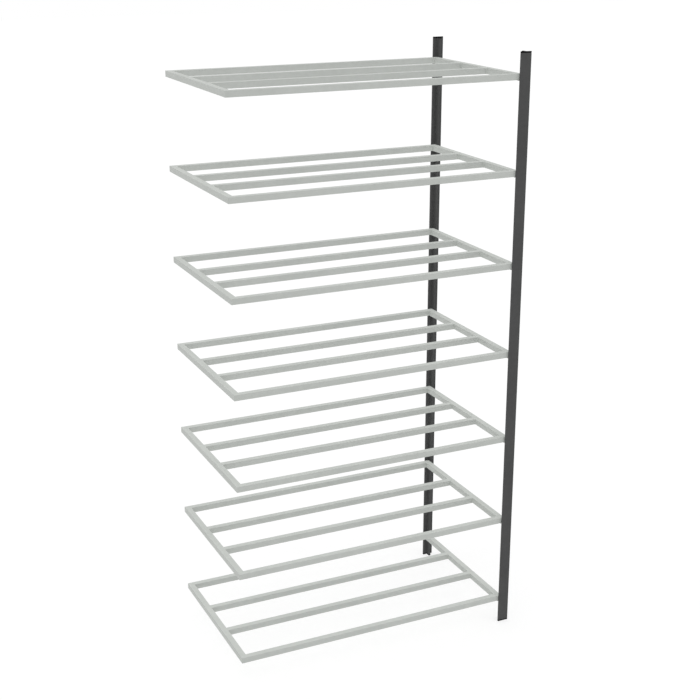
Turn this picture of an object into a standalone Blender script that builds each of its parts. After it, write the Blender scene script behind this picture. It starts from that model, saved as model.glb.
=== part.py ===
"""Tubular shelving bay: seven welded tube shelves on two T-section uprights at the right end.

Units are metres. X runs along the shelves (left to right), Y from front to rear, Z up.
The origin lies on the floor, under the middle of the whole bay.
"""
import math

import bmesh
import bpy
from mathutils import Vector

# Driving dimensions of the shelves
SHELF_LENGTH = 1.032           # outer length of a shelf frame
SHELF_DEPTH = 0.583            # outer depth of a shelf frame
TUBE_SIDE = 0.0205             # square tube, outer side over its coat
TUBE_WALL = 0.0015
TUBE_EDGE_RADIUS = 0.0006      # outer corner radius of the tube section, sharp inside
INNER_TUBE_SPACING = 0.175     # centre to centre of the two inner tubes
LEVEL_COUNT = 7
LOWEST_SHELF_TOP = 0.104       # top face of the lowest shelf above the floor

# Driving dimensions of the uprights
BAY_HEIGHT = 2.096             # over the end caps
UPRIGHT_OVER_TOP_SHELF = 0.072 # how far an upright ends above the highest shelf's top face
FLANGE_WIDTH = 0.040           # outer face, along X
FLANGE_DEPTH = 0.006           # thickness of the hollow flange
RIB_WIDTH = 0.008              # hollow rib in the middle of the flange, along X
RIB_DEPTH = 0.018              # how far the rib reaches past the flange
PROFILE_SHEET = 0.0012         # rolled sheet
PROFILE_EDGE_RADIUS = 0.0010   # outside only, the rolled sheet is drawn sharp inside
SEAT_GAP = 0.0025              # between the flange and the shelf's front or rear face

# Driving dimensions of the end caps
CAP_HEIGHT = 0.005             # plate that shows at the end of the upright
CAP_EDGE_RADIUS = 0.0008
PLUG_LENGTH = 0.015            # the part that sits inside the hollow upright

# Driving dimensions of the end bearers, one under the right end of each shelf
BEARER_SHEET = 0.0015
BEARER_RISE = 0.014            # strip above the top of its ledges
LEDGE_LENGTH = 0.015           # how far a ledge reaches under the shelf corner, along X
LEDGE_WIDTH = 0.020            # along Y
HOOK_SHEET = 0.0015            # thickness of a hook, along Y
HOOK_THROAT = 0.005            # height of the neck that passes the slot
HOOK_DROP = 0.004              # length of the leg below the neck
HOOK_LEG = 0.0018              # thickness of the leg, along X
HOOK_PLACE_SHARES = (0.25, 0.75)   # places of the two hooks across the rib's free side
HOOK_HEIGHT_SHARE = 0.72       # top of the necks, as a share of the strip's rise

# Where two outer tubes of a shelf meet
MITRE_ANGLE = math.radians(45.0)

# Fits
FIT = 0.0003                   # gap between faces that touch on the real object
PLUG_CLEARANCE = 0.0003
SLOT_CLEARANCE = 0.0003
OVERRUN = 0.002                # how far a cut runs past what it cuts

# Rounded edges
TUBE_EDGE_SEGMENTS = 2
PROFILE_EDGE_SEGMENTS = 2
CAP_EDGE_SEGMENTS = 2

# Worked out from the driving dimensions
END_GAP = BEARER_SHEET + 2.0 * FIT                     # between a shelf's end and the rib
RIB_LEFT = SHELF_LENGTH + END_GAP                      # measured from the shelf's left end
RIB_MIDDLE = RIB_LEFT + RIB_WIDTH / 2.0
BAY_LENGTH = RIB_MIDDLE + FLANGE_WIDTH / 2.0
BAY_DEPTH = SHELF_DEPTH + 2.0 * (FLANGE_DEPTH + SEAT_GAP)
TOP_SHELF_TOP = BAY_HEIGHT - UPRIGHT_OVER_TOP_SHELF
LEVEL_PITCH = (TOP_SHELF_TOP - LOWEST_SHELF_TOP) / (LEVEL_COUNT - 1)   # 0.320

SHELF_LEFT_X = -BAY_LENGTH / 2.0
SHELF_MIDDLE_X = SHELF_LEFT_X + SHELF_LENGTH / 2.0
UPRIGHT_X = SHELF_LEFT_X + RIB_MIDDLE
OUTER_FACE_Y = BAY_DEPTH / 2.0                         # outer face of the rear flange
PROFILE_DEPTH = FLANGE_DEPTH + RIB_DEPTH
PROFILE_BOTTOM_Z = CAP_HEIGHT + FIT
PROFILE_LENGTH = BAY_HEIGHT - 2.0 * PROFILE_BOTTOM_Z
RIB_SIDE_START = FLANGE_DEPTH + SEAT_GAP + FIT         # free side of the rib, from the outer face
RIB_SIDE_END = PROFILE_DEPTH - FIT
NECK_TOP = HOOK_HEIGHT_SHARE * BEARER_RISE             # above the top of the ledges
NECK_BOTTOM = NECK_TOP - HOOK_THROAT

# Colours as linear RGB
SHELF_GREY = (0.560, 0.585, 0.555, 1.0)
UPRIGHT_GREY = (0.072, 0.073, 0.075, 1.0)
BEARER_GREY = (0.060, 0.061, 0.063, 1.0)
CAP_BLACK = (0.012, 0.012, 0.013, 1.0)


def clear_scene():
    for old in list(bpy.data.objects):
        bpy.data.objects.remove(old, do_unlink=True)


def new_collection(name):
    collection = bpy.data.collections.new(name)
    bpy.context.scene.collection.children.link(collection)
    return collection


def new_material(name, colour, roughness, metallic):
    material = bpy.data.materials.new(name)
    material.use_nodes = True
    shader = material.node_tree.nodes["Principled BSDF"]
    shader.inputs["Base Color"].default_value = colour
    shader.inputs["Roughness"].default_value = roughness
    shader.inputs["Metallic"].default_value = metallic
    material.diffuse_color = colour
    return material


def place(name, mesh, material, collection, location=(0.0, 0.0, 0.0), turn=0.0):
    """Link one named piece, with its own location and a turn about Z."""
    piece = bpy.data.objects.new(name, mesh)
    piece.location = location
    piece.rotation_euler = (0.0, 0.0, turn)
    collection.objects.link(piece)
    if not mesh.materials:
        mesh.materials.append(material)
    return piece


def settled_mesh(piece, name):
    """The piece's mesh with its modifiers applied and its doubles merged; the piece goes."""
    bpy.context.view_layer.update()
    graph = bpy.context.evaluated_depsgraph_get()
    mesh = bpy.data.meshes.new_from_object(piece.evaluated_get(graph))
    mesh.name = name
    mesh.transform(piece.matrix_world)
    work = bmesh.new()
    work.from_mesh(mesh)
    bmesh.ops.remove_doubles(work, verts=work.verts, dist=FIT / 30.0)
    work.to_mesh(mesh)
    work.free()
    mesh.materials.clear()
    bpy.data.objects.remove(piece, do_unlink=True)
    return mesh


def box_object(name, low, high, collection):
    """A box from its lowest to its highest corner."""
    low = Vector(low)
    high = Vector(high)
    work = bmesh.new()
    bmesh.ops.create_cube(work, size=1.0)
    bmesh.ops.scale(work, vec=high - low, verts=work.verts)
    bmesh.ops.translate(work, vec=(low + high) / 2.0, verts=work.verts)
    mesh = bpy.data.meshes.new(name)
    work.to_mesh(mesh)
    work.free()
    box = bpy.data.objects.new(name, mesh)
    collection.objects.link(box)
    return box


def as_guide(piece):
    """Cutters and guides are never part of the bay."""
    piece.hide_render = True
    piece.display_type = 'WIRE'
    return piece


def add_boolean(piece, other, operation):
    modifier = piece.modifiers.new(operation.title(), 'BOOLEAN')
    modifier.object = other
    modifier.operation = operation
    modifier.solver = 'EXACT'
    return modifier


def outline_object(name, points, height, filled, collection):
    """A closed flat outline raised from z = 0 to the given height: a solid if filled, else its side walls."""
    curve = bpy.data.curves.new(name, 'CURVE')
    curve.dimensions = '2D'
    curve.fill_mode = 'BOTH' if filled else 'NONE'
    curve.extrude = height / 2.0
    spline = curve.splines.new('POLY')
    spline.points.add(len(points) - 1)
    for point, (x, y) in zip(spline.points, points):
        point.co = (x, y, 0.0, 1.0)
    spline.use_cyclic_u = True
    drawn = bpy.data.objects.new(name, curve)
    drawn.location = (0.0, 0.0, height / 2.0)
    collection.objects.link(drawn)
    mesh = settled_mesh(drawn, name)
    bpy.data.curves.remove(curve)
    work = bmesh.new()
    work.from_mesh(mesh)
    bmesh.ops.recalc_face_normals(work, faces=work.faces)
    work.to_mesh(mesh)
    work.free()
    solid = bpy.data.objects.new(name, mesh)
    collection.objects.link(solid)
    return solid


def round_chosen_edges(mesh, chosen, radius, segments):
    """Rounds the edges whose two ends pass the test, and leaves the rest sharp."""
    work = bmesh.new()
    work.from_mesh(mesh)
    edges = [edge for edge in work.edges if chosen(*(vertex.co for vertex in edge.verts))]
    bmesh.ops.bevel(work, geom=edges, offset=radius, segments=segments, profile=0.5, affect='EDGES')
    work.to_mesh(mesh)
    work.free()


def round_edges(piece, radius, segments):
    bevel = piece.modifiers.new("Rounded edges", 'BEVEL')
    bevel.width = radius
    bevel.segments = segments
    bevel.limit_method = 'ANGLE'
    bevel.angle_limit = math.radians(30.0)
    return bevel


def add_wall(piece, thickness):
    """Gives an open shell its sheet, inwards from the drawn faces."""
    wall = piece.modifiers.new("Wall", 'SOLIDIFY')
    wall.thickness = thickness
    wall.offset = -1.0
    wall.use_even_offset = True
    return wall


# Shelf frames

def tube_mesh(name, length, mitred, guides):
    """A hollow square tube along X, centred, its outer long side facing -Y.

    On a mitred tube each end is cut on the slant: an end point lies further back the further it
    lies inside the frame's outer face.
    """
    work = bmesh.new()
    bmesh.ops.create_cube(work, size=1.0)
    ends = [face for face in work.faces if abs(face.normal.x) > abs(face.normal.y) + abs(face.normal.z)]
    bmesh.ops.delete(work, geom=ends, context='FACES_ONLY')
    bmesh.ops.scale(work, vec=(length, TUBE_SIDE, TUBE_SIDE), verts=work.verts)
    mesh = bpy.data.meshes.new(name)
    work.to_mesh(mesh)
    work.free()
    tube = bpy.data.objects.new(name, mesh)
    guides.objects.link(tube)
    add_wall(tube, TUBE_WALL)
    mesh = settled_mesh(tube, name)
    nearly_half = TUBE_SIDE / 2.0 - TUBE_WALL / 2.0

    def outer_long_edge(start, end):
        middle = (start + end) / 2.0
        return abs(middle.y) > nearly_half and abs(middle.z) > nearly_half and abs(middle.x) < length / 4.0

    round_chosen_edges(mesh, outer_long_edge, TUBE_EDGE_RADIUS, TUBE_EDGE_SEGMENTS)
    if mitred:
        for vertex in mesh.vertices:
            set_back = (vertex.co.y + TUBE_SIDE / 2.0) * math.tan(MITRE_ANGLE)
            vertex.co.x -= math.copysign(set_back, vertex.co.x)
    return mesh


def underside_z(level):
    """Where the underside of a shelf rests."""
    return LOWEST_SHELF_TOP + level * LEVEL_PITCH - TUBE_SIDE


def build_shelves(collection, guides, paint):
    """Seven alike frames of six tubes, with a hair gap at each weld.

    The tubes of a frame hang on an empty in the middle of its underside, which lifts straight up.
    """
    mitre_gap = FIT * math.cos(MITRE_ANGLE)
    long_mesh = tube_mesh("long_tube", SHELF_LENGTH - 2.0 * mitre_gap, True, guides)
    end_mesh = tube_mesh("end_tube", SHELF_DEPTH - 2.0 * mitre_gap, True, guides)
    inner_mesh = tube_mesh("inner_tube", SHELF_LENGTH - 2.0 * (TUBE_SIDE + FIT), False, guides)
    side_reach = (SHELF_DEPTH - TUBE_SIDE) / 2.0
    end_reach = (SHELF_LENGTH - TUBE_SIDE) / 2.0
    inner_reach = INNER_TUBE_SPACING / 2.0
    quarter_turn = math.pi / 2.0
    half_turn = math.pi
    tubes = (
        ("front_tube", long_mesh, 0.0, -side_reach, 0.0),
        ("rear_tube", long_mesh, 0.0, side_reach, half_turn),
        ("left_end_tube", end_mesh, -end_reach, 0.0, -quarter_turn),
        ("right_end_tube", end_mesh, end_reach, 0.0, quarter_turn),
        ("inner_front_tube", inner_mesh, 0.0, -inner_reach, 0.0),
        ("inner_rear_tube", inner_mesh, 0.0, inner_reach, 0.0),
    )
    for level in range(LEVEL_COUNT):
        shelf_name = "shelf_%d" % (level + 1)
        lift = bpy.data.objects.new(shelf_name + "_lift", None)
        lift.location = (SHELF_MIDDLE_X, 0.0, underside_z(level))
        collection.objects.link(lift)
        for tube_name, mesh, x, y, turn in tubes:
            tube = place(shelf_name + "_" + tube_name, mesh, paint, collection, (x, y, TUBE_SIDE / 2.0), turn)
            tube.parent = lift


# Uprights: the front one is drawn with its outer face on y = 0 and the rib towards +Y

def profile_outline(inset):
    """The T outline, moved inwards by the inset."""
    half_flange = FLANGE_WIDTH / 2.0 - inset
    half_rib = RIB_WIDTH / 2.0 - inset
    face = inset
    shoulder = FLANGE_DEPTH - inset
    rib_end = PROFILE_DEPTH - inset
    return (
        (-half_flange, face), (half_flange, face), (half_flange, shoulder), (half_rib, shoulder),
        (half_rib, rib_end), (-half_rib, rib_end), (-half_rib, shoulder), (-half_flange, shoulder),
    )


def hook_middles():
    """Where the hooks of a bearer enter the rib, from the upright's outer face."""
    free_side = RIB_SIDE_END - RIB_SIDE_START
    return [RIB_SIDE_START + share * free_side for share in HOOK_PLACE_SHARES]


def ledge_top_z(level):
    return underside_z(level) - FIT


def build_slot_cutter(guides):
    """One guide of all the slots: each lets a hook in from the side and down onto its lower edge."""
    slots = None
    half_width = HOOK_SHEET / 2.0 + SLOT_CLEARANCE
    for level in range(LEVEL_COUNT):
        slot_bottom = ledge_top_z(level) + NECK_BOTTOM - SLOT_CLEARANCE
        slot_top = ledge_top_z(level) + NECK_TOP + HOOK_DROP + SLOT_CLEARANCE
        for middle in hook_middles():
            low = (-RIB_WIDTH / 2.0 - OVERRUN, middle - half_width, slot_bottom)
            high = (RIB_WIDTH / 2.0 + OVERRUN, middle + half_width, slot_top)
            slot = box_object("slot", low, high, guides)
            if slots is None:
                slots = slot
                continue
            joined = bmesh.new()
            joined.from_mesh(slots.data)
            joined.from_mesh(slot.data)
            joined.to_mesh(slots.data)
            joined.free()
            bpy.data.objects.remove(slot, do_unlink=True)
    slots.name = "slot_guide"
    return slots


def upright_mesh(guides):
    """Rolled hollow T section with hook slots in both sides of its rib, open at both ends."""
    drawn = outline_object("upright_shell", profile_outline(0.0), PROFILE_LENGTH, False, guides)
    drawn.location = (0.0, 0.0, PROFILE_BOTTOM_Z)
    add_wall(drawn, PROFILE_SHEET)
    mesh = settled_mesh(drawn, "upright_shell")
    corners = [Vector(corner) for corner in profile_outline(0.0)]

    def outer_long_edge(start, end):
        stands = abs(end.z - start.z) > PROFILE_LENGTH / 2.0
        return stands and any((start.xy - corner).length < FIT for corner in corners)

    round_chosen_edges(mesh, outer_long_edge, PROFILE_EDGE_RADIUS, PROFILE_EDGE_SEGMENTS)
    shell = bpy.data.objects.new("upright", mesh)
    guides.objects.link(shell)
    slots = build_slot_cutter(guides)
    as_guide(slots)
    add_boolean(shell, slots, 'DIFFERENCE')
    mesh = settled_mesh(shell, "upright")
    bpy.data.objects.remove(slots, do_unlink=True)
    return mesh


def cap_mesh(guides):
    """A plate over the end of the section with a plug that stands up inside it."""
    plate = outline_object("cap", profile_outline(0.0), CAP_HEIGHT, True, guides)
    round_edges(plate, CAP_EDGE_RADIUS, CAP_EDGE_SEGMENTS)
    plug_inset = PROFILE_SHEET + PLUG_CLEARANCE
    plug_height = PLUG_LENGTH + CAP_HEIGHT / 2.0
    plug = outline_object("plug", profile_outline(plug_inset), plug_height, True, guides)
    plug.location = (0.0, 0.0, CAP_HEIGHT / 2.0)
    as_guide(plug)
    add_boolean(plate, plug, 'UNION')
    mesh = settled_mesh(plate, "cap")
    bpy.data.objects.remove(plug, do_unlink=True)
    return mesh


def bearer_mesh(guides):
    """A strip on edge from rib to rib, with a ledge under each shelf corner and two hooks in each rib.

    It is drawn about the ribs' middle line, with the top of the ledges on z = 0.
    """
    strip_right = -RIB_WIDTH / 2.0 - FIT
    strip_left = strip_right - BEARER_SHEET
    strip_middle = (strip_left + strip_right) / 2.0
    leg_left = -RIB_WIDTH / 2.0 + PROFILE_SHEET + FIT
    leg_right = leg_left + HOOK_LEG
    reach = OUTER_FACE_Y - RIB_SIDE_START
    strip = box_object("bearer", (strip_left, -reach, -BEARER_SHEET),
                       (strip_right, reach, BEARER_RISE), guides)
    pieces = []
    for side in (-1.0, 1.0):
        ledge_y = sorted((side * reach, side * (reach - LEDGE_WIDTH)))
        pieces.append(box_object("ledge", (strip_left - LEDGE_LENGTH, ledge_y[0], -BEARER_SHEET),
                                 (strip_middle, ledge_y[1], 0.0), guides))
        for middle in hook_middles():
            hook_y = side * (OUTER_FACE_Y - middle)
            low_y = hook_y - HOOK_SHEET / 2.0
            high_y = hook_y + HOOK_SHEET / 2.0
            pieces.append(box_object("neck", (strip_middle, low_y, NECK_BOTTOM),
                                     (leg_right, high_y, NECK_TOP), guides))
            pieces.append(box_object("leg", (leg_left, low_y, NECK_BOTTOM - HOOK_DROP),
                                     (leg_right, high_y, NECK_TOP), guides))
    for piece in pieces:
        as_guide(piece)
        add_boolean(strip, piece, 'UNION')
    mesh = settled_mesh(strip, "bearer")
    for piece in pieces:
        bpy.data.objects.remove(piece, do_unlink=True)
    return mesh


def mirrored(mesh, name):
    """The same piece for the rear upright, reflected front to rear."""
    copy = mesh.copy()
    copy.name = name
    work = bmesh.new()
    work.from_mesh(copy)
    for vertex in work.verts:
        vertex.co.y = -vertex.co.y
    bmesh.ops.reverse_faces(work, faces=work.faces)
    work.to_mesh(copy)
    work.free()
    return copy


def turned_over(mesh, name):
    """The cap for the top end, reflected top to bottom."""
    copy = mesh.copy()
    copy.name = name
    work = bmesh.new()
    work.from_mesh(copy)
    for vertex in work.verts:
        vertex.co.z = -vertex.co.z
    bmesh.ops.reverse_faces(work, faces=work.faces)
    work.to_mesh(copy)
    work.free()
    return copy


def build_uprights(collection, guides, paint, plastic):
    front = upright_mesh(guides)
    foot = cap_mesh(guides)
    head = turned_over(foot, "head")
    sides = (
        ("front", -OUTER_FACE_Y, front, foot, head),
        ("rear", OUTER_FACE_Y, mirrored(front, "rear_upright"), mirrored(foot, "rear_foot"),
         mirrored(head, "rear_head")),
    )
    for side, y, profile, foot_cap, top_cap in sides:
        place(side + "_upright", profile, paint, collection, (UPRIGHT_X, y, 0.0))
        place(side + "_foot_cap", foot_cap, plastic, collection, (UPRIGHT_X, y, 0.0))
        place(side + "_top_cap", top_cap, plastic, collection, (UPRIGHT_X, y, BAY_HEIGHT))


def build_bearers(collection, guides, paint):
    mesh = bearer_mesh(guides)
    for level in range(LEVEL_COUNT):
        name = "shelf_%d_bearer" % (level + 1)
        place(name, mesh, paint, collection, (UPRIGHT_X, 0.0, ledge_top_z(level)))


def main():
    clear_scene()
    collection = new_collection("tubular_shelving_bay")
    guides = new_collection("guides")
    shelf_paint = new_material("light_grey_powder_coat", SHELF_GREY, 0.45, 0.0)
    upright_paint = new_material("dark_grey_powder_coat", UPRIGHT_GREY, 0.50, 0.0)
    bearer_paint = new_material("bearer_dark_grey", BEARER_GREY, 0.45, 0.0)
    cap_plastic = new_material("black_plastic", CAP_BLACK, 0.55, 0.0)
    build_shelves(collection, guides, shelf_paint)
    build_uprights(collection, guides, upright_paint, cap_plastic)
    build_bearers(collection, guides, bearer_paint)


main()
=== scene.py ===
import math

import bmesh
import bpy
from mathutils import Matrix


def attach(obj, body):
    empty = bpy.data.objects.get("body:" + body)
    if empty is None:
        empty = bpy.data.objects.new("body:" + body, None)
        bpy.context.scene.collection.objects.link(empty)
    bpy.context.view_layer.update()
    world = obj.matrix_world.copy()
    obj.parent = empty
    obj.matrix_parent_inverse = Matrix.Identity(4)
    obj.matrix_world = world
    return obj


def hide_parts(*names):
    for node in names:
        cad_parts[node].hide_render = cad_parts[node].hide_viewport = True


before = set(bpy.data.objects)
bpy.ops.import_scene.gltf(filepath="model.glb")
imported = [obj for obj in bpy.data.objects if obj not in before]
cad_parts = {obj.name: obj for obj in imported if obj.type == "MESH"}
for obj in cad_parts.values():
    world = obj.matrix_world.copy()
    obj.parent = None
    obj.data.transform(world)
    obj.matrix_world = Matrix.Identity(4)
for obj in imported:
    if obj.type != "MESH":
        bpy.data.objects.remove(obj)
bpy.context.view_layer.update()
print("frame loaded:", len(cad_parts), "nodes")

# Camera, at the photograph's angle

cameraSet = {
    "place": (-1.844, -3.964, 2.517),
    "yaw": math.radians(25.13),      # from +Y towards +X
    "pitch": math.radians(18.51),    # down
    "lens": 66.87,
    "sensor": 36.0,
}


def addCamera(look):
    data = bpy.data.cameras.new("photoCamera")
    data.sensor_width = look["sensor"]
    data.lens = look["lens"]
    camera = bpy.data.objects.new("photoCamera", data)
    camera.location = look["place"]
    camera.rotation_euler = (math.pi / 2 - look["pitch"], 0, -look["yaw"])
    bpy.context.scene.collection.objects.link(camera)
    bpy.context.scene.camera = camera


# Studio: white floor and backdrop, soft light from above and a little from the front left

studio = {
    "floorSize": 60.0,
    "floorDrop": 0.0002,    # under the feet
    "floorGlow": 0.45,      # share of the seen floor that is plain white; its shadow stays faint
    "floorWhite": 0.80,     # albedo for everything but the camera
    "skyLight": 0.56,
    "skyGloss": 0.10,       # how much of the seen white a rough coat mirrors
    "sunStrength": 1.64,
    "sunAngle": math.radians(70),
    "sunTilt": (math.radians(14), math.radians(-16), 0),
}


# white wherever the camera or a clear surface looks, and dimmer as a light
def addSky(look):
    world = bpy.data.worlds.new("studio")
    bpy.context.scene.world = world
    world.use_nodes = True
    tree = world.node_tree
    back = tree.nodes["Background"]
    back.inputs["Color"].default_value = (1, 1, 1, 1)
    rays = tree.nodes.new("ShaderNodeLightPath")
    mirrored = tree.nodes.new("ShaderNodeMath")
    mirrored.operation = "MULTIPLY_ADD"
    mirrored.inputs[1].default_value = look["skyGloss"]
    tree.links.new(rays.outputs["Is Glossy Ray"], mirrored.inputs[0])
    tree.links.new(rays.outputs["Is Camera Ray"], mirrored.inputs[2])
    seen = tree.nodes.new("ShaderNodeMath")
    seen.operation = "MAXIMUM"
    tree.links.new(mirrored.outputs[0], seen.inputs[0])
    tree.links.new(rays.outputs["Is Transmission Ray"], seen.inputs[1])
    level = tree.nodes.new("ShaderNodeMapRange")
    level.inputs["To Min"].default_value = look["skyLight"]
    level.inputs["To Max"].default_value = 1.0
    tree.links.new(seen.outputs[0], level.inputs["Value"])
    tree.links.new(level.outputs["Result"], back.inputs["Strength"])


def addSun(look):
    bpy.ops.object.light_add(type="SUN", rotation=look["sunTilt"])
    sun = bpy.context.object
    sun.name = "softSun"
    sun.data.energy = look["sunStrength"]
    sun.data.angle = look["sunAngle"]
    sun.data.use_shadow = False    # the photograph's light leaves no shadow on the shelves


def addFloor(look):
    bpy.ops.mesh.primitive_plane_add(size=look["floorSize"], location=(0, 0, -look["floorDrop"]))
    floor = bpy.context.object
    floor.name = "floor"
    paper = bpy.data.materials.new("floorPaper")
    paper.use_nodes = True
    tree = paper.node_tree
    shader = tree.nodes["Principled BSDF"]
    shader.inputs["Roughness"].default_value = 1.0
    shader.inputs["Specular IOR Level"].default_value = 0.0
    rays = tree.nodes.new("ShaderNodeLightPath")
    tone = tree.nodes.new("ShaderNodeMix")
    tone.data_type = "RGBA"
    for socket, white in (("A", look["floorWhite"]), ("B", 1 - look["floorGlow"])):
        tone.inputs[socket].default_value = (white, white, white, 1)
    tree.links.new(rays.outputs["Is Camera Ray"], tone.inputs["Factor"])
    tree.links.new(tone.outputs["Result"], shader.inputs["Base Color"])
    glow = tree.nodes.new("ShaderNodeMath")
    glow.operation = "MULTIPLY"
    glow.inputs[1].default_value = look["floorGlow"]
    tree.links.new(rays.outputs["Is Camera Ray"], glow.inputs[0])
    tree.links.new(glow.outputs[0], shader.inputs["Emission Strength"])
    shader.inputs["Emission Color"].default_value = (1, 1, 1, 1)
    floor.data.materials.append(paper)


addCamera(cameraSet)
addSky(studio)
addSun(studio)
addFloor(studio)
bpy.context.scene.view_settings.view_transform = "Standard"
print("camera and studio ready")

# Modelling helpers

straight = 0.9                     # cosine from which an edge or normal runs along an axis
square = 0.99                      # and from which it is square on
touching = 0.00001                 # places this near are level with each other
mergeReach = 0.000002
flatAngle = math.radians(1)        # faces that meet flatter than this become one
smoothAngle = math.radians(35)     # steeper edges stay sharp


# nothing of the frame may stay under the tools
def deselectAll():
    if bpy.context.object and bpy.context.object.mode == "EDIT":
        bpy.ops.object.mode_set(mode="OBJECT")
    bpy.ops.object.select_all(action="DESELECT")


# a cube from its lowest to its highest corner, left in edit mode
def startBox(name, low, high):
    deselectAll()
    bpy.ops.mesh.primitive_cube_add(size=1, location=[(a + b) / 2 for a, b in zip(low, high)],
                                    scale=[b - a for a, b in zip(low, high)])
    piece = bpy.context.object
    piece.name = piece.data.name = name
    bpy.ops.object.transform_apply(location=True, rotation=True, scale=True)
    bpy.ops.object.mode_set(mode="EDIT")
    return piece


# selects the faces whose middle and normal pass the test
def pickFaces(piece, test):
    bpy.ops.mesh.select_mode(type="FACE")
    bpy.ops.mesh.select_all(action="DESELECT")
    mesh = bmesh.from_edit_mesh(piece.data)
    mesh.normal_update()
    for face in mesh.faces:
        if test(face.calc_center_median(), face.normal):
            face.select_set(True)
    bmesh.update_edit_mesh(piece.data)


# selects the edges whose middle and direction pass the test, all or only the open ones
def pickEdges(piece, test, openOnly=False):
    bpy.ops.mesh.select_mode(type="EDGE")
    bpy.ops.mesh.select_all(action="DESELECT")
    mesh = bmesh.from_edit_mesh(piece.data)
    for edge in mesh.edges:
        start, end = (corner.co for corner in edge.verts)
        if openOnly and not edge.is_boundary:
            continue
        if test((start + end) / 2, (end - start).normalized()):
            edge.select_set(True)
    bmesh.update_edit_mesh(piece.data)


# cuts with a plane; what lies on the side of its normal goes if it says so
def bisectAll(place, normal, clear=False):
    bpy.ops.mesh.select_all(action="SELECT")
    bpy.ops.mesh.bisect(plane_co=place, plane_no=normal, clear_outer=clear)


def applyModifier(piece, kind, **settings):
    deselectAll()
    piece.select_set(True)
    bpy.context.view_layer.objects.active = piece
    modifier = piece.modifiers.new(kind.title(), kind)
    for key, value in settings.items():
        setattr(modifier, key, value)
    bpy.ops.object.modifier_apply(modifier=modifier.name)


# merges doubles, turns all faces outwards, smooths the small roundings and keeps the flats flat
def finishMesh(piece, angle=smoothAngle):
    deselectAll()
    piece.select_set(True)
    bpy.context.view_layer.objects.active = piece
    bpy.ops.object.mode_set(mode="EDIT")
    bpy.ops.mesh.select_all(action="SELECT")
    bpy.ops.mesh.remove_doubles(threshold=mergeReach)
    bpy.ops.mesh.normals_make_consistent(inside=False)
    bpy.ops.object.mode_set(mode="OBJECT")
    bpy.ops.object.shade_smooth_by_angle(angle=angle)
    applyModifier(piece, "WEIGHTED_NORMAL", keep_sharp=True)


# a copy with its own mesh, turned, moved, and settled at the origin
def placeCopy(master, name, move=(0, 0, 0), turn=(0, 0, 0)):
    deselectAll()
    master.select_set(True)
    bpy.context.view_layer.objects.active = master
    bpy.ops.object.duplicate(linked=False)
    copy = bpy.context.object
    copy.name = copy.data.name = name
    copy.rotation_euler = turn
    copy.location = move
    bpy.ops.object.transform_apply(location=True, rotation=True, scale=True)
    return copy


def joinPieces(name, pieces):
    deselectAll()
    for piece in pieces:
        piece.select_set(True)
    bpy.context.view_layer.objects.active = pieces[0]
    bpy.ops.object.join()
    joined = bpy.context.object
    joined.name = joined.data.name = name
    return joined


def throwAway(*pieces):
    for piece in pieces:
        bpy.data.objects.remove(piece, do_unlink=True)


# Finishes

# what the three finishes share; a band is the part of a noise that is spread over its range
coatShared = {
    "cloudDetail": 3,
    "cloudBand": (0.35, 0.65),
    "cloudShare": 0.5,               # the mottle has the rest
    "mottleDetail": 4,
    "mottleBand": (0.3, 0.7),
    "speckDetail": 2,
    "wearBand": (0.35, 0.62),        # of the mottle, which breaks up the edge tone
    "wearLeast": 0.3,
    "edgeSamples": 6,
    "edgeTurn": 0.90,                # cosine at which the edge tone is full
    "glossFiner": 3,                 # times the mottle's scale
    "glossDetail": 2,
    "grainDetail": 2,
    "peelDetail": 3,
}
lightCoatLook = {
    "name": "lightGreyPowderCoat",
    "lightTone": (0.579, 0.600, 0.574),
    "darkTone": (0.529, 0.551, 0.525),
    "edgeTone": (0.490, 0.511, 0.487),   # thinner film on sharp edges
    "edgeShare": 0.35,
    "edgeReach": 0.0007,
    "cloudScale": 5.0,                   # broad changes of tone, per metre
    "mottleScale": 60.0,
    "speckScale": 1300.0,                # the powder's own grain, seen close by
    "speckShare": 0.35,
    "peelScale": 480.0,                  # orange peel, about 2 mm across
    "peelHeight": 0.000110,
    "grainScale": 2600.0,
    "grainHeight": 0.000016,
    "roughness": (0.40, 0.52),
    "specular": 0.20,
}
darkCoatLook = {
    "name": "darkGreyPowderCoat",
    "lightTone": (0.0882, 0.0887, 0.0887),
    "darkTone": (0.0722, 0.0727, 0.0727),
    "edgeTone": (0.1085, 0.1090, 0.1090),
    "edgeShare": 0.30,
    "edgeReach": 0.0006,
    "cloudScale": 4.0,
    "mottleScale": 75.0,
    "speckScale": 1400.0,
    "speckShare": 0.35,
    "peelScale": 620.0,
    "peelHeight": 0.000120,
    "grainScale": 2800.0,
    "grainHeight": 0.000020,
    "roughness": (0.44, 0.58),
    "specular": 0.12,
}
plasticLook = {
    "name": "blackPlastic",
    "lightTone": (0.0062, 0.0062, 0.0066),
    "darkTone": (0.0043, 0.0043, 0.0046),
    "edgeTone": (0.0110, 0.0110, 0.0116),   # rubbed bright
    "edgeShare": 0.35,
    "edgeReach": 0.0005,
    "cloudScale": 30.0,
    "mottleScale": 220.0,
    "speckScale": 2600.0,
    "speckShare": 0.35,
    "peelScale": 1500.0,                 # eroded grain of the mould
    "peelHeight": 0.000030,
    "grainScale": 5200.0,
    "grainHeight": 0.000010,
    "roughness": (0.58, 0.72),
    "specular": 0.15,
}


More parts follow.
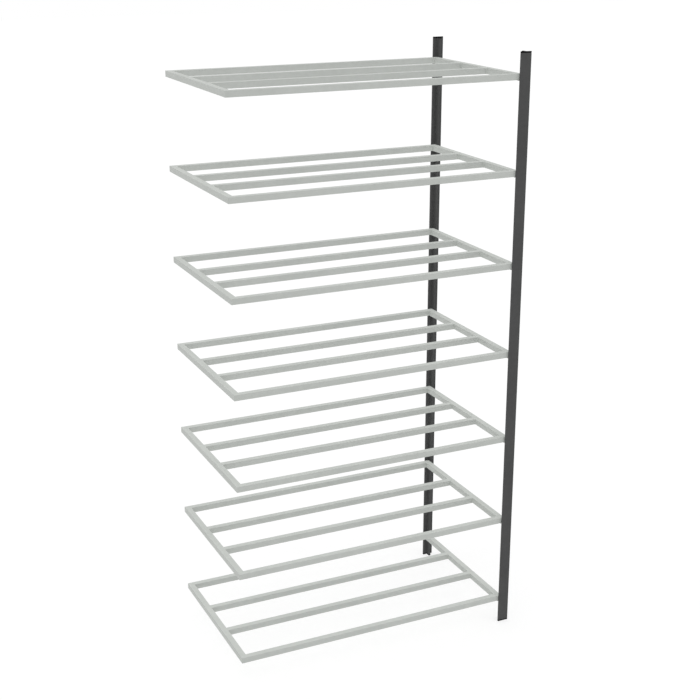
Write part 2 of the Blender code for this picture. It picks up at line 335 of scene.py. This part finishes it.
def makeCoat(look):
    shared = coatShared
    coat = bpy.data.materials.new(look["name"])
    coat.use_nodes = True
    tree = coat.node_tree
    nodes, links = tree.nodes, tree.links
    shader = nodes["Principled BSDF"]
    shader.inputs["Specular IOR Level"].default_value = look["specular"]
    place = nodes.new("ShaderNodeTexCoord")

    def addNoise(scale, detail):
        noise = nodes.new("ShaderNodeTexNoise")
        noise.inputs["Scale"].default_value = scale
        noise.inputs["Detail"].default_value = detail
        links.new(place.outputs["Object"], noise.inputs["Vector"])
        return noise.outputs["Fac"]

    def mixTones(share, first, second):
        mix = nodes.new("ShaderNodeMix")
        mix.data_type = "RGBA"
        links.new(share, mix.inputs["Factor"])
        for socket, tone in (("A", first), ("B", second)):
            if isinstance(tone, tuple):
                mix.inputs[socket].default_value = (*tone, 1)
            else:
                links.new(tone, mix.inputs[socket])
        return mix.outputs["Result"]

    def spread(value, band, least, most):
        ramp = nodes.new("ShaderNodeMapRange")
        ramp.inputs["From Min"].default_value, ramp.inputs["From Max"].default_value = band
        ramp.inputs["To Min"].default_value, ramp.inputs["To Max"].default_value = least, most
        links.new(value, ramp.inputs["Value"])
        return ramp.outputs["Result"]

    # colour: clouds, mottle and grain between two near tones, then the thin film on the edges
    cloud = addNoise(look["cloudScale"], shared["cloudDetail"])
    mottle = addNoise(look["mottleScale"], shared["mottleDetail"])
    blend = nodes.new("ShaderNodeMath")
    blend.operation = "MULTIPLY_ADD"
    blend.inputs[1].default_value = 1 - shared["cloudShare"]
    links.new(spread(cloud, shared["cloudBand"], 0, shared["cloudShare"]), blend.inputs[2])
    links.new(spread(mottle, shared["mottleBand"], 0, 1), blend.inputs[0])
    speck = nodes.new("ShaderNodeMath")
    speck.operation = "ADD"
    links.new(blend.outputs[0], speck.inputs[0])
    grit = addNoise(look["speckScale"], shared["speckDetail"])
    swing = look["speckShare"]
    links.new(spread(grit, shared["mottleBand"], -swing, swing), speck.inputs[1])
    body = mixTones(speck.outputs[0], look["darkTone"], look["lightTone"])
    rounded = nodes.new("ShaderNodeBevel")
    rounded.samples = shared["edgeSamples"]
    rounded.inputs["Radius"].default_value = look["edgeReach"]
    flat = nodes.new("ShaderNodeNewGeometry")
    facing = nodes.new("ShaderNodeVectorMath")
    facing.operation = "DOT_PRODUCT"
    links.new(rounded.outputs["Normal"], facing.inputs[0])
    links.new(flat.outputs["Normal"], facing.inputs[1])
    edge = spread(facing.outputs["Value"], (1.0, shared["edgeTurn"]), 0, look["edgeShare"])
    broken = nodes.new("ShaderNodeMath")
    broken.operation = "MULTIPLY"
    links.new(edge, broken.inputs[0])
    links.new(spread(mottle, shared["wearBand"], shared["wearLeast"], 1), broken.inputs[1])
    links.new(mixTones(broken.outputs[0], body, look["edgeTone"]), shader.inputs["Base Color"])

    # gloss changes with the flow of the powder
    gloss = addNoise(look["mottleScale"] * shared["glossFiner"], shared["glossDetail"])
    links.new(spread(gloss, shared["mottleBand"], *look["roughness"]), shader.inputs["Roughness"])

    # orange peel with a fine grain on it
    grain = nodes.new("ShaderNodeBump")
    grain.inputs["Distance"].default_value = look["grainHeight"]
    links.new(addNoise(look["grainScale"], shared["grainDetail"]), grain.inputs["Height"])
    peel = nodes.new("ShaderNodeBump")
    peel.inputs["Distance"].default_value = look["peelHeight"]
    links.new(addNoise(look["peelScale"], shared["peelDetail"]), peel.inputs["Height"])
    links.new(grain.outputs["Normal"], peel.inputs["Normal"])
    links.new(peel.outputs["Normal"], shader.inputs["Normal"])
    return coat


lightCoat = makeCoat(lightCoatLook)
darkCoat = makeCoat(darkCoatLook)
blackPlastic = makeCoat(plasticLook)
print("finishes ready")


# gives a piece its finish, its body, and the nodes that it stands for
def dress(piece, coat, slotName, bodyName, *nodeNames):
    piece.data.materials.clear()
    piece.data.materials.append(coat)
    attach(piece, bodyName)
    if nodeNames:
        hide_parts(*nodeNames)


# Shelves: six hollow square tubes, four mitred round the outside and two inside

shelfLook = {
    "levels": 7,
    "pitch": 0.320,
    "lowestTop": 0.104,
    "leftX": -0.52905,
    "length": 1.032,
    "depth": 0.583,
    "innerSpacing": 0.175,
    "side": 0.0205,
    "wall": 0.0015,
    "edgeRadius": 0.0006,
    "edgeSteps": 4,
    "hairGap": 0.00002,        # of a mitre, on each side
    "spare": 0.004,            # cut off again at the ends
}
shelfMiddleX = shelfLook["leftX"] + shelfLook["length"] / 2
shelfMiddleZ = shelfLook["lowestTop"] - shelfLook["side"] / 2


# a tube along X, its outer long side towards -Y; mitred ends run back towards +Y
def makeTube(name, length, mitred):
    look = shelfLook
    half = look["side"] / 2
    reach = length / 2 + look["spare"]
    tube = startBox(name, (-reach, -half, -half), (reach, half, half))
    pickFaces(tube, lambda middle, normal: abs(normal.x) > straight)
    bpy.ops.mesh.delete(type="FACE")
    applyModifier(tube, "SOLIDIFY", thickness=look["wall"], offset=-1, use_even_offset=True,
                  use_rim=False)
    bpy.ops.object.mode_set(mode="EDIT")
    outside = half - look["wall"] / 2
    pickEdges(tube, lambda middle, along: abs(along.x) > straight
              and min(abs(middle.y), abs(middle.z)) > outside)
    bpy.ops.mesh.bevel(offset=look["edgeRadius"], segments=look["edgeSteps"], affect="EDGES")
    for end in (-1, 1):
        endX = end * (length / 2 - look["hairGap"])
        bisectAll((endX, -half, 0), (end, 1 if mitred else 0, 0), clear=True)
        pickEdges(tube, lambda middle, along: middle.x * end > 0, openOnly=True)
        bpy.ops.mesh.bridge_edge_loops()
    finishMesh(tube)
    return tube


longTube = makeTube("longTube", shelfLook["length"], True)
endTube = makeTube("endTube", shelfLook["depth"], True)
innerTube = makeTube("innerTube", shelfLook["length"] - 2 * shelfLook["side"], False)

sideReach = (shelfLook["depth"] - shelfLook["side"]) / 2
endReach = (shelfLook["length"] - shelfLook["side"]) / 2
innerReach = shelfLook["innerSpacing"] / 2
tubePlan = (
    ("front_tube", longTube, 0, -sideReach, 0),
    ("rear_tube", longTube, 0, sideReach, math.pi),
    ("left_end_tube", endTube, -endReach, 0, -math.pi / 2),
    ("right_end_tube", endTube, endReach, 0, math.pi / 2),
    ("inner_front_tube", innerTube, 0, -innerReach, 0),
    ("inner_rear_tube", innerTube, 0, innerReach, 0),
)
for level in range(shelfLook["levels"]):
    shelf = "shelf_%d" % (level + 1)
    height = shelfMiddleZ + level * shelfLook["pitch"]
    for tubeName, master, x, y, turn in tubePlan:
        node = shelf + "_" + tubeName
        tube = placeCopy(master, node + "_steel", (shelfMiddleX + x, y, height), (0, 0, turn))
        dress(tube, lightCoat, "light_grey_powder_coat", shelf, node)
throwAway(longTube, endTube, innerTube)
print("tubes ready")

# Welds of a shelf: rippled beads in the corners, ground flat on top

weldLook = {
    "radius": 0.0017,
    "sunk": 0.0008,            # middle of a bead off both faces
    "length": 0.0189,
    "ripples": 12,
    "waist": 0.86,             # a ring between two ripples
    "tip": 0.45,
    "around": 10,
    "beadAngle": math.radians(80),
    "padWidth": 0.0026,
    "padProud": 0.00010,
    "padDepth": 0.0005,
    "padRound": 0.45,          # share of its thickness
    "padSteps": 3,
    "padAngle": math.radians(60),
    "padLength": 0.0263,       # along a mitre
    "seamLength": 0.0185,      # across an inner tube
    "seamShift": 0.0003,       # from the end tube's inner face into it
    "underSunk": 0.0011,
}


# a bead along Z about the origin
def makeBead(look):
    deselectAll()
    bpy.ops.mesh.primitive_cylinder_add(vertices=look["around"], radius=look["radius"],
                                        depth=look["length"])
    bead = bpy.context.object
    bead.name = "weldBead"
    bpy.ops.object.mode_set(mode="EDIT")
    pickEdges(bead, lambda middle, along: abs(along.z) > straight)
    cuts = 2 * look["ripples"] - 1
    bpy.ops.mesh.subdivide(number_cuts=cuts)
    step = look["length"] / (cuts + 1)
    for ring in range(cuts + 2):
        height = ring * step - look["length"] / 2
        share = look["waist"] if ring % 2 == 0 else 1.0
        if ring in (0, cuts + 1):
            share = look["tip"]
        mesh = bmesh.from_edit_mesh(bead.data)
        bpy.ops.mesh.select_mode(type="VERT")
        bpy.ops.mesh.select_all(action="DESELECT")
        for corner in mesh.verts:
            if abs(corner.co.z - height) < step / 4:
                corner.select_set(True)
        bmesh.update_edit_mesh(bead.data)
        bpy.ops.transform.resize(value=(share, share, 1), center_override=(0, 0, height))
    finishMesh(bead, look["beadAngle"])
    return bead


# a soft flat pad about the origin, long along X
def makePad(look, length):
    thick = look["padProud"] + look["padDepth"]
    pad = startBox("weldPad", (-length / 2, -look["padWidth"] / 2, -thick / 2),
                   (length / 2, look["padWidth"] / 2, thick / 2))
    bpy.ops.mesh.select_all(action="SELECT")
    bpy.ops.mesh.bevel(offset=thick * look["padRound"], segments=look["padSteps"], affect="EDGES")
    finishMesh(pad, look["padAngle"])
    return pad


def makeWelds(look):
    bead = makeBead(look)
    longPad = makePad(look, look["padLength"])
    seamPad = makePad(look, look["seamLength"])
    welds = []
    left, right = -shelfLook["length"] / 2, shelfLook["length"] / 2
    side, half = shelfLook["side"], shelfLook["side"] / 2
    padLift = half - (look["padDepth"] - look["padProud"]) / 2
    for endX, inward in ((left, 1), (right, -1)):
        innerX = endX + inward * side
        for way in (-1, 1):
            # inside of the mitred corner, and its flush seams above and below
            beadX = innerX + inward * look["sunk"]
            cornerY = way * (shelfLook["depth"] / 2 - side - look["sunk"])
            welds.append(placeCopy(bead, "bead", (beadX, cornerY, 0)))
            middle = (endX + inward * half, way * (shelfLook["depth"] / 2 - half))
            slant = -inward * way * math.pi / 4
            for lift in (padLift, -padLift):
                welds.append(placeCopy(longPad, "pad", (*middle, lift), (0, 0, slant)))
            # both flanks of an inner tube, its ground seam on top and its rippled seam underneath
            tubeY = way * innerReach
            for flank in (-1, 1):
                flankY = tubeY + flank * (half + look["sunk"])
                welds.append(placeCopy(bead, "bead", (beadX, flankY, 0)))
            seamX = innerX - inward * look["seamShift"]
            welds.append(placeCopy(seamPad, "pad", (seamX, tubeY, padLift), (0, 0, math.pi / 2)))
            under = (seamX, tubeY, look["underSunk"] - half)
            welds.append(placeCopy(bead, "bead", under, (math.pi / 2, 0, 0)))
    throwAway(bead, longPad, seamPad)
    return joinPieces("shelfWelds", welds)


shelfWelds = makeWelds(weldLook)
for level in range(shelfLook["levels"]):
    shelf = "shelf_%d" % (level + 1)
    height = shelfMiddleZ + level * shelfLook["pitch"]
    welds = placeCopy(shelfWelds, shelf + "_welds", (shelfMiddleX, 0, height))
    dress(welds, lightCoat, "light_grey_powder_coat", shelf)
throwAway(shelfWelds)
print("welds ready")

# End bearers: a strip on edge, two ledges for the shelf's corners, four hooks into the ribs

bearerLook = {
    "sheet": 0.0015,
    "rise": 0.014,             # above the ledges' top
    "ledgeLength": 0.015,
    "ledgeWidth": 0.020,
    "ledgeGap": 0.0003,        # under the shelf
    "ribGap": 0.0003,
    "reach": 0.2912,           # half the strip's length
    "hookSheet": 0.0015,
    "neckTop": 0.01008,
    "neckBottom": 0.00508,
    "hookDrop": 0.004,
    "hookLeg": 0.0018,
    "bendRadius": 0.0012,
    "bendSteps": 4,
    "edgeRadius": 0.00025,
    "edgeSteps": 2,
    "edgeAngle": math.radians(50),
}
uprightLook = {
    "x": 0.50905,
    "outerY": 0.300,
    "flangeWidth": 0.040,
    "flangeDepth": 0.006,
    "ribWidth": 0.008,
    "ribDepth": 0.018,
    "sheet": 0.0012,
    "edgeRadius": 0.0010,
    "edgeSteps": 4,
    "low": 0.0053,
    "high": 2.0907,
    "slotPlaces": (0.012525, 0.019975),   # hooks' middles, from the outer face
    "slotWidth": 0.0021,
    "slotLow": 0.00478,        # above the ledges' top
    "slotHigh": 0.01438,
    "slotRadius": 0.0005,
    "slotSteps": 3,
}


# drawn about the ribs' middle line, with the top of its ledges on z = 0
def makeBearer(look, upright):
    right = -upright["ribWidth"] / 2 - look["ribGap"]
    left = right - look["sheet"]
    reach = look["reach"]
    legLeft = -upright["ribWidth"] / 2 + upright["sheet"] + look["ribGap"]
    bearer = startBox("bearer", (left, -reach, -look["sheet"]), (right, reach, look["rise"]))
    ledgeFrom = reach - look["ledgeWidth"]
    hookRows = []
    for way in (-1, 1):
        bisectAll((0, way * ledgeFrom, 0), (0, 1, 0))
        for place in upright["slotPlaces"]:
            middle = way * (upright["outerY"] - place)
            hookRows.append(middle)
            for edge in (-1, 1):
                bisectAll((0, middle + edge * look["hookSheet"] / 2, 0), (0, 1, 0))
    for height in (0, look["neckBottom"], look["neckTop"]):
        bisectAll((0, 0, height), (0, 0, 1))
    pickFaces(bearer, lambda middle, normal: normal.x < -straight
              and middle.z < 0 and abs(middle.y) > ledgeFrom)
    bpy.ops.mesh.extrude_region_move(TRANSFORM_OT_translate={"value": (-look["ledgeLength"], 0, 0)})

    def onHook(middle):
        return any(abs(middle.y - row) < look["hookSheet"] / 2 for row in hookRows)

    pickFaces(bearer, lambda middle, normal: normal.x > straight and onHook(middle)
              and look["neckBottom"] < middle.z < look["neckTop"])
    bpy.ops.mesh.extrude_region_move(TRANSFORM_OT_translate={"value": (legLeft - right, 0, 0)})
    bpy.ops.mesh.extrude_region_move(TRANSFORM_OT_translate={"value": (look["hookLeg"], 0, 0)})
    pickFaces(bearer, lambda middle, normal: normal.z < -straight
              and onHook(middle) and middle.x > legLeft)
    bpy.ops.mesh.extrude_region_move(TRANSFORM_OT_translate={"value": (0, 0, -look["hookDrop"])})
    bpy.ops.mesh.select_all(action="SELECT")
    bpy.ops.mesh.dissolve_limited(angle_limit=flatAngle)
    pickEdges(bearer, lambda middle, along: abs(along.y) > straight
              and abs(middle.x - left) < touching and abs(middle.z) < touching
              and abs(middle.y) > ledgeFrom)
    bpy.ops.mesh.bevel(offset=look["bendRadius"], segments=look["bendSteps"], affect="EDGES")
    applyModifier(bearer, "BEVEL", width=look["edgeRadius"], segments=look["edgeSteps"],
                  limit_method="ANGLE", angle_limit=look["edgeAngle"])
    finishMesh(bearer)
    return bearer


lowestLedge = shelfLook["lowestTop"] - shelfLook["side"] - bearerLook["ledgeGap"]
bearerMaster = makeBearer(bearerLook, uprightLook)
for level in range(shelfLook["levels"]):
    node = "shelf_%d_bearer" % (level + 1)
    height = lowestLedge + level * shelfLook["pitch"]
    bearer = placeCopy(bearerMaster, node + "_steel", (uprightLook["x"], 0, height))
    dress(bearer, darkCoat, "dark_grey_powder_coat", "frame", node)
throwAway(bearerMaster)
print("bearers ready")

# Uprights: rolled hollow T sections; the front one is drawn with its outer face on y = 0


# the T as a box with a rib drawn out of its back
def startTee(name, low, high, openEnds):
    look = uprightLook
    half = look["flangeWidth"] / 2
    tee = startBox(name, (-half, 0, low), (half, look["flangeDepth"], high))
    for edge in (-1, 1):
        bisectAll((edge * look["ribWidth"] / 2, 0, 0), (1, 0, 0))
    pickFaces(tee, lambda middle, normal: normal.y > straight
              and abs(middle.x) < look["ribWidth"] / 2)
    bpy.ops.mesh.extrude_region_move(TRANSFORM_OT_translate={"value": (0, look["ribDepth"], 0)})
    if openEnds:
        pickFaces(tee, lambda middle, normal: abs(normal.z) > straight)
        bpy.ops.mesh.delete(type="FACE")
    bpy.ops.mesh.select_all(action="SELECT")
    bpy.ops.mesh.dissolve_limited(angle_limit=flatAngle)
    return tee


def makeUpright(look):
    upright = startTee("upright", look["low"], look["high"], True)
    applyModifier(upright, "SOLIDIFY", thickness=look["sheet"], offset=-1, use_even_offset=True)
    bpy.ops.object.mode_set(mode="EDIT")
    wide, narrow = look["flangeWidth"] / 2, look["ribWidth"] / 2
    back, ribEnd = look["flangeDepth"], look["flangeDepth"] + look["ribDepth"]
    corners = ((wide, 0), (wide, back), (narrow, back), (narrow, ribEnd))
    near = look["sheet"] / 4
    pickEdges(upright, lambda middle, along: abs(along.z) > straight and any(
        math.dist((abs(middle.x), middle.y), corner) < near for corner in corners))
    bpy.ops.mesh.bevel(offset=look["edgeRadius"], segments=look["edgeSteps"], affect="EDGES")

    # one slot with round corners, copied across the rib and up the levels
    firstY, secondY = look["slotPlaces"]
    nearY, farY = firstY - look["slotWidth"] / 2, firstY + look["slotWidth"] / 2
    punch = startBox("punch", (-look["ribWidth"], nearY, lowestLedge + look["slotLow"]),
                     (look["ribWidth"], farY, lowestLedge + look["slotHigh"]))
    pickEdges(punch, lambda middle, along: abs(along.x) > straight)
    bpy.ops.mesh.bevel(offset=look["slotRadius"], segments=look["slotSteps"], affect="EDGES")
    across = (len(look["slotPlaces"]), (0, secondY - firstY, 0))
    upwards = (shelfLook["levels"], (0, 0, shelfLook["pitch"]))
    for count, offset in (across, upwards):
        applyModifier(punch, "ARRAY", count=count, use_relative_offset=False,
                      use_constant_offset=True, constant_offset_displace=offset)
    applyModifier(upright, "BOOLEAN", operation="DIFFERENCE", solver="EXACT", object=punch)
    throwAway(punch)
    finishMesh(upright)
    return upright


uprightMaster = makeUpright(uprightLook)
for sideName, way, turn in (("front", -1, 0), ("rear", 1, math.pi)):
    node = sideName + "_upright"
    place = (uprightLook["x"], way * uprightLook["outerY"], 0)
    upright = placeCopy(uprightMaster, node + "_steel", place, (0, 0, turn))
    dress(upright, darkCoat, "dark_grey_powder_coat", "frame", node)
throwAway(uprightMaster)
print("uprights ready")

# Caps: moulded, with a shallow recess outside and a plug inside

capLook = {
    "height": 0.005,
    "edgeRadius": 0.0008,
    "edgeSteps": 4,
    "recessRim": 0.0011,
    "recessDepth": 0.0003,
    "plugInset": 0.0015,
    "plugLength": 0.015,
    "leadIn": 0.0010,
    "leadInset": 0.0004,
    "topZ": 2.096,
}


# drawn as the foot cap, its outer side on z = 0
def makeCap(look):
    cap = startTee("cap", 0, look["height"], False)
    bpy.ops.mesh.select_all(action="SELECT")
    bpy.ops.mesh.bevel(offset=look["edgeRadius"], segments=look["edgeSteps"], affect="EDGES")
    pickFaces(cap, lambda middle, normal: normal.z < -square and middle.z < touching)
    bpy.ops.mesh.inset(thickness=look["recessRim"])
    bpy.ops.mesh.inset(thickness=look["recessDepth"], depth=-look["recessDepth"])
    pickFaces(cap, lambda middle, normal: normal.z > square
              and middle.z > look["height"] - touching)
    bpy.ops.mesh.inset(thickness=look["plugInset"] - look["edgeRadius"])
    rise = look["plugLength"] - look["leadIn"]
    bpy.ops.mesh.extrude_region_move(TRANSFORM_OT_translate={"value": (0, 0, rise)})
    bpy.ops.mesh.inset(thickness=look["leadInset"], depth=look["leadIn"])
    finishMesh(cap)
    return cap


capMaster = makeCap(capLook)
for sideName, way, turn in (("front", -1, 0), ("rear", 1, math.pi)):
    for endName, height, tip in (("foot", 0, 0), ("top", capLook["topZ"], math.pi)):
        node = "%s_%s_cap" % (sideName, endName)
        # a cap is tipped over about Y for the upper end, which leaves its rib where it is
        place = (uprightLook["x"], way * uprightLook["outerY"], height)
        cap = placeCopy(capMaster, node + "_plastic", place, (0, tip, turn))
        dress(cap, blackPlastic, "black_plastic", "frame", node)
throwAway(capMaster)
print("caps ready")
